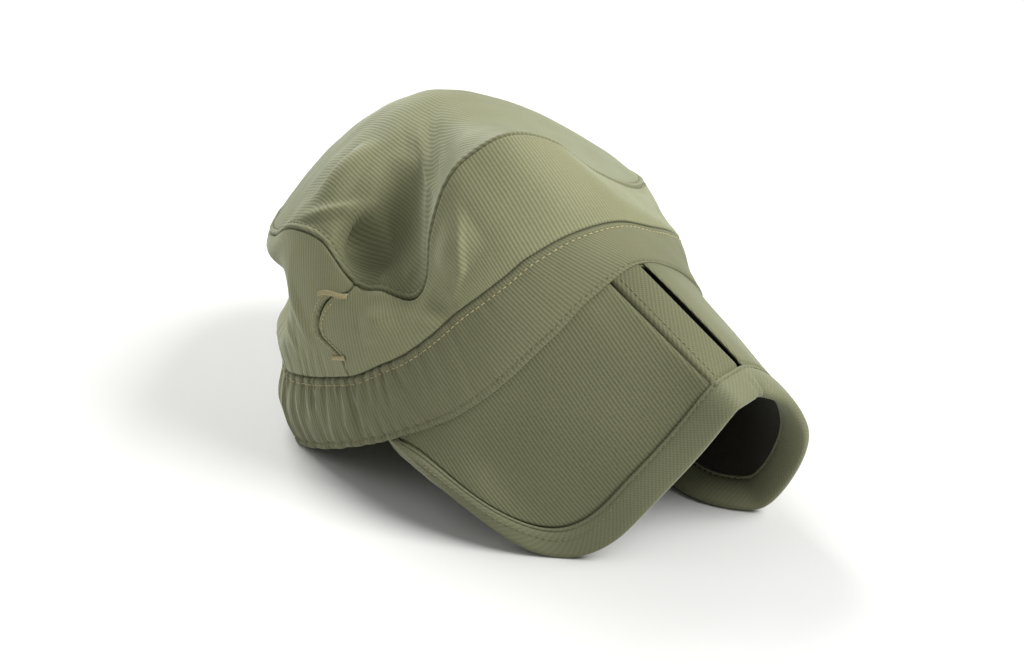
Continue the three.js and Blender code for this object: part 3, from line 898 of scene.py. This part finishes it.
# One panel of the peak between the band and the binding: above and below are its faces' heights,
# rolls are how its two sides turn down, gape draws its free side away and thin thins it there.
def peakPanel(name, acrossList, material, slot, node, above, below, rolls, tuck=True, gape=0.0,
              thin=0.0):
    across = np.array(acrossList)
    start = bindingStart(across)
    length = np.linalg.norm(peakSkin(across, 1) - peakSkin(across, 0), axis=-1)
    rows = 1 - (1 - np.linspace(0, 1, peak["rows"])[:, None]) ** peak["crowding"]
    begin = -peak["rootTuck"] / length if tuck else 0 * length
    reach = start + peak["underBinding"] / length - begin
    along = begin + np.maximum(reach, peak["leastLength"] / length) * rows
    drawn = gape * np.sin(np.pi * rows) * np.exp((across - across[-1]) / peak["gapeSpan"])
    base = peakSkin(across[None, :] - drawn, along)
    normal = gridNormals(base, sign=-1)
    around = runLength(base, 1)
    out = np.full(around.shape, above, float)
    for distance, (depth, width) in zip((around, around[:, -1:] - around), rolls):
        out -= depth * np.exp(-(distance / width) ** 2)
    run = runLength(base, 0)
    past = (run[-1] - peak["underBinding"] - run) / peak["grooveWidth"]
    out -= peak["groove"] * np.exp(-past ** 2)
    outer = base + normal * out[..., None]
    deep = below - thin * np.exp(-(around[:, -1:] - around) / peak["thinSpan"])
    inner = base - normal * deep[..., None]
    pattern = flatPattern(base)
    points, faces, corners = clothBody(outer, inner, pattern, flip=True)
    piece = makePiece(name, points, faces, corners, material, slot, [node])
    return piece, {"base": base, "outer": outer, "outerNormal": normal, "around": around,
                   "pattern": pattern}


leftAcross = 1 + np.concatenate([[0, 0.004, 0.01, 0.02], np.linspace(0.035, 0.985, 70)])
stripAcross = np.concatenate([[0.05, 0.07, 0.1, 0.13], np.linspace(0.16, 0.86, 16),
                              [0.9, 0.94, 0.965, 0.985]])
rightAcross = np.concatenate([np.linspace(-0.985, -0.05, 100),
                              [-0.042, -0.034, -0.027, -0.021, -0.016, -0.012, -0.008]])
peakPanelLeft, leftSheet = peakPanel(
    "peakPanelLeft", leftAcross, peakClothPaintedShade, "peak_cloth", "peak_panel_left",
    0.0, peak["panelWall"], ((1.0, 0.6), (0, 1)))
peakCentreStrip, stripSheet = peakPanel(
    "peakCentreStrip", stripAcross, stripClothPaintedShade, "strip_cloth", "peak_strip",
    peak["stripRise"], peak["panelWall"], ((1.2, 0.9), (0.9, 0.5)))
peakPanelRight, rightSheet = peakPanel(
    "peakPanelRight", rightAcross, peakClothPaintedShade, "peak_cloth", "peak_panel_right",
    1.0, peak["panelWall"], ((0, 1), (0.5, 0.5)), gape=0.01, thin=2.2)

peakAcross = np.concatenate([np.linspace(-0.985, -0.03, 100), np.linspace(-0.02, 1.02, 30),
                             np.linspace(1.03, 1.985, 80)])
liningTop = peak["panelWall"] + 0.3
peakLining, liningSheet = peakPanel(
    "peakLining", peakAcross, liningCloth, "lining_cloth", "peak_lining",
    -liningTop, liningTop + peak["liningWall"], ((0, 1), (0, 1)), tuck=False)

# The binding's cross-section: share of its width from its inner edge, height above the peak's
# surface, and how far it stands out past the edge.
binding = {
    "section": [
        [0.0, 0.5, 0], [0.03, 0.95, 0], [0.08, 1.0, 0], [0.115, 0.6, 0],
        [0.15, 0.95, 0], [0.25, 1.3, 0], [0.4, 1.5, 0], [0.6, 1.5, 0], [0.8, 1.3, 0],
        [0.93, 1.0, 0], [1.0, 0.5, 0.7], [1.0, -0.3, 1.2], [1.0, -1.2, 1.4], [1.0, -2.1, 1.2],
        [1.0, -2.9, 0.7], [0.93, -3.4, 0], [0.8, -3.7, 0], [0.6, -3.9, 0], [0.4, -3.9, 0],
        [0.25, -3.8, 0], [0.15, -3.5, 0], [0.115, -3.2, 0], [0.08, -3.6, 0], [0.03, -3.5, 0],
        [0.0, -3.0, 0],
    ],
    "wall": 0.6, "topGroove": 3, "topMiddle": 6, "underGroove": 21,
    "pinches": [[1.0, 2.4, 1.9], [-3.0, 1.8, 0.6], [5.0, 2.0, 0.7]],
    "pinchFrom": 0.35, "pinchOver": 0.4, "pinchShare": 0.7, "foldedUnder": -3,
    "rounds": 10,
    "drawnIn": 3.0, "drawnFrom": 1.72, "drawnOver": 0.25,     # the left end, towards the band
    "tails": 6, "tailStep": (0.2, 3.3, 0.55), "tailRun": 2.5,
    "middleFrom": 1.2, "middleOver": 0.25,      # where the stitches leave the groove
}


# The binding as rows round its cross-section, with tails that run in under the headband.
def bindingTube(acrossList):
    across = np.array(acrossList)
    start = bindingStart(across)
    grid = peakSkin(across[None, :], np.stack([start, 0.5 * start + 0.5, 1 + 0 * start]))
    normals = gridNormals(grid, sign=-1)
    away = unit(grid[2] - grid[1])
    rows = []
    for share, height, past in binding["section"]:
        along = start + (1 - start) * share
        normal = unit(normals[0] * (1 - share) + normals[2] * share)
        rows.append(peakSkin(across, along) + normal * height + away * past)
    rows = np.array(rows)
    length = runLength(grid[2:3], 1)[0]
    for _ in range(binding["rounds"]):
        rows[:, 1:-1] = rows[:, 1:-1] / 2 + (rows[:, :-2] + rows[:, 2:]) / 4
    off = length - np.interp(0, across, length)
    for middle, width, depth in binding["pinches"]:
        pinch = depth * hump((off - middle) / width)
        for r, (share, height, _) in enumerate(binding["section"]):
            if height > binding["foldedUnder"] and share > binding["pinchFrom"]:
                ease = min((share - binding["pinchFrom"]) / binding["pinchOver"], 1)
                rows[r] -= (normals[2] + away) * (binding["pinchShare"] * pinch * ease)[:, None]
    drawn = np.clip((across - binding["drawnFrom"]) / binding["drawnOver"], 0, 1)
    drawn = binding["drawnIn"] * drawn ** 1.5
    for r, (share, _, _) in enumerate(binding["section"]):
        rows[r] -= away * (drawn * share)[:, None]
    steps = np.arange(1, binding["tails"] + 1)[:, None]
    step = np.array(binding["tailStep"])
    left = rows[:, -1][:, None] + steps * step
    right = rows[:, 0][:, None] + steps * step * [-1, 1, 1]
    rows = np.concatenate([right[:, ::-1], rows, left], 1)
    pad = binding["tailRun"] * steps[:, 0]
    length = np.concatenate([length[0] - pad[::-1], length, length[-1] + pad])
    around = runLength(rows, 0)
    pattern = np.stack([np.broadcast_to(length, around.shape), around], -1)
    return rows, pattern


bindingAcross = np.concatenate([[-0.93], peakAcross[np.abs(peakAcross - 0.5) < 1.42], [1.93]])
bindingRows, bindingPattern = bindingTube(bindingAcross)
bindingNormals = gridNormals(bindingRows, sign=-1)
tape = clothBody(bindingRows, bindingRows - bindingNormals * binding["wall"], bindingPattern,
                 flip=True)
peakBindingTape = makePiece("peakBindingTape", *tape, bindingCloth, "binding_cloth",
                            ["peak_binding"])

bag = newBag()
inward = np.linspace(-1, 2, bindingRows.shape[1])[:, None] - binding["middleFrom"]
inward = np.clip(inward / binding["middleOver"], 0, 1)
top, middle, under = (binding[key] for key in ("topGroove", "topMiddle", "underGroove"))
line = bindingRows[top] * (1 - inward) + bindingRows[middle] * inward
stitchRow(bag, (line, bindingNormals[middle]), seamStitch)
stitchRow(bag, (bindingRows[under], bindingNormals[under - 3]), seamStitch)     # the flat beside it
far = stripSheet["around"][:, -1:] - stripSheet["around"]
stitchRow(bag, lineOn(stripSheet, far, seamStitch["inset"], turned=True), seamStitch, 4.0)
peakStitches = makeThreads("peakStitches", bag, oliveThread, "binding_cloth")


# Prints a piece of cloth's cut: the size and area of its flat pattern, in metres. A straight tape is
# as wide as its area and length make it.
def cutSheet(piece, panel, fullness=1.0, straight=False):
    p = panel["base"]
    if panel.get("wrapped"):
        p = np.concatenate([p, p[:, :1]], 1)
    cells = np.cross(p[1:, 1:] - p[:-1, :-1], p[1:, :-1] - p[:-1, 1:])
    area = np.linalg.norm(cells, axis=-1).sum() / 2e6 * fullness
    size = np.ptp(panel["pattern"].reshape(-1, 2), axis=0) / 1000 * (fullness, 1)
    if straight:
        size[1] = area / size[0]
    area = min(area, size[0] * size[1])
    print("cut", piece.name, [round(float(v), 4) for v in (*size, area)])


topPanel["wrapped"] = bandPanel["wrapped"] = True
cutSheet(crownTopCloth, topPanel)
cutSheet(sideFrontCloth, frontPanel)
cutSheet(sideBackCloth, backPanel)
cutSheet(headbandCloth, bandPanel, 1.1,
         straight=True)
cutSheet(peakPanelLeft, leftSheet)
cutSheet(peakCentreStrip, stripSheet)
cutSheet(peakPanelRight, rightSheet)
cutSheet(peakLining, liningSheet)
cutSheet(peakBindingTape, {"base": bindingRows, "pattern": bindingPattern},
         straight=True)

# Stage, light and camera
floorMesh = bpy.data.meshes.new("floor")
floorMesh.from_pydata([(-3, -3, 0), (3, -3, 0), (3, 3, 0), (-3, 3, 0)], [], [(0, 1, 2, 3)])
floor = bpy.data.objects.new("floor", floorMesh)
bpy.context.scene.collection.objects.link(floor)
floorPaint = bpy.data.materials.new("mattWhitePaper")
floorPaint.use_nodes = True
floorShader = floorPaint.node_tree.nodes["Principled BSDF"]
floorShader.inputs["Base Color"].default_value = linear("#dcdcda")
floorShader.inputs["Roughness"].default_value = 0.95
floorMesh.materials.append(floorPaint)

world = bpy.data.worlds.new("softStudio")
bpy.context.scene.world = world
world.use_nodes = True
world.node_tree.nodes["Background"].inputs[0].default_value = (1, 1, 1, 1)
world.node_tree.nodes["Background"].inputs[1].default_value = 0.2

lights = {
    "keyLight": {"place": (0.48, -0.98, 1.15), "size": 0.8, "power": 31.0},
    "backLight": {"place": (0.2, 1.1, 1.07), "size": 0.9, "power": 24.0},
    "fillLight": {"place": (-0.9, 0.45, 1.2), "size": 1.2, "power": 4.0},
}
for name, light in lights.items():
    data = bpy.data.lights.new(name, "AREA")
    data.size = light["size"]
    data.energy = light["power"]
    lamp = bpy.data.objects.new(name, data)
    lamp.location = light["place"]
    lamp.rotation_euler = (Vector((0, 0, 0.07)) - lamp.location).to_track_quat("-Z", "Y").to_euler()
    bpy.context.scene.collection.objects.link(lamp)

view = {"place": (-0.4782, -0.4757, 0.4109), "turn": -45, "tilt": 28, "lens": 36 * 1860 / 1024}
cameraData = bpy.data.cameras.new("photoCamera")
cameraData.sensor_width = 36
cameraData.lens = view["lens"]
cameraData.clip_start = 0.05
camera = bpy.data.objects.new("photoCamera", cameraData)
camera.location = view["place"]
camera.rotation_euler = (math.radians(90 - view["tilt"]), 0, math.radians(view["turn"]))
bpy.context.scene.collection.objects.link(camera)
bpy.context.scene.camera = camera
bpy.context.scene.view_settings.view_transform = "Standard"
print("stage, light and camera set")
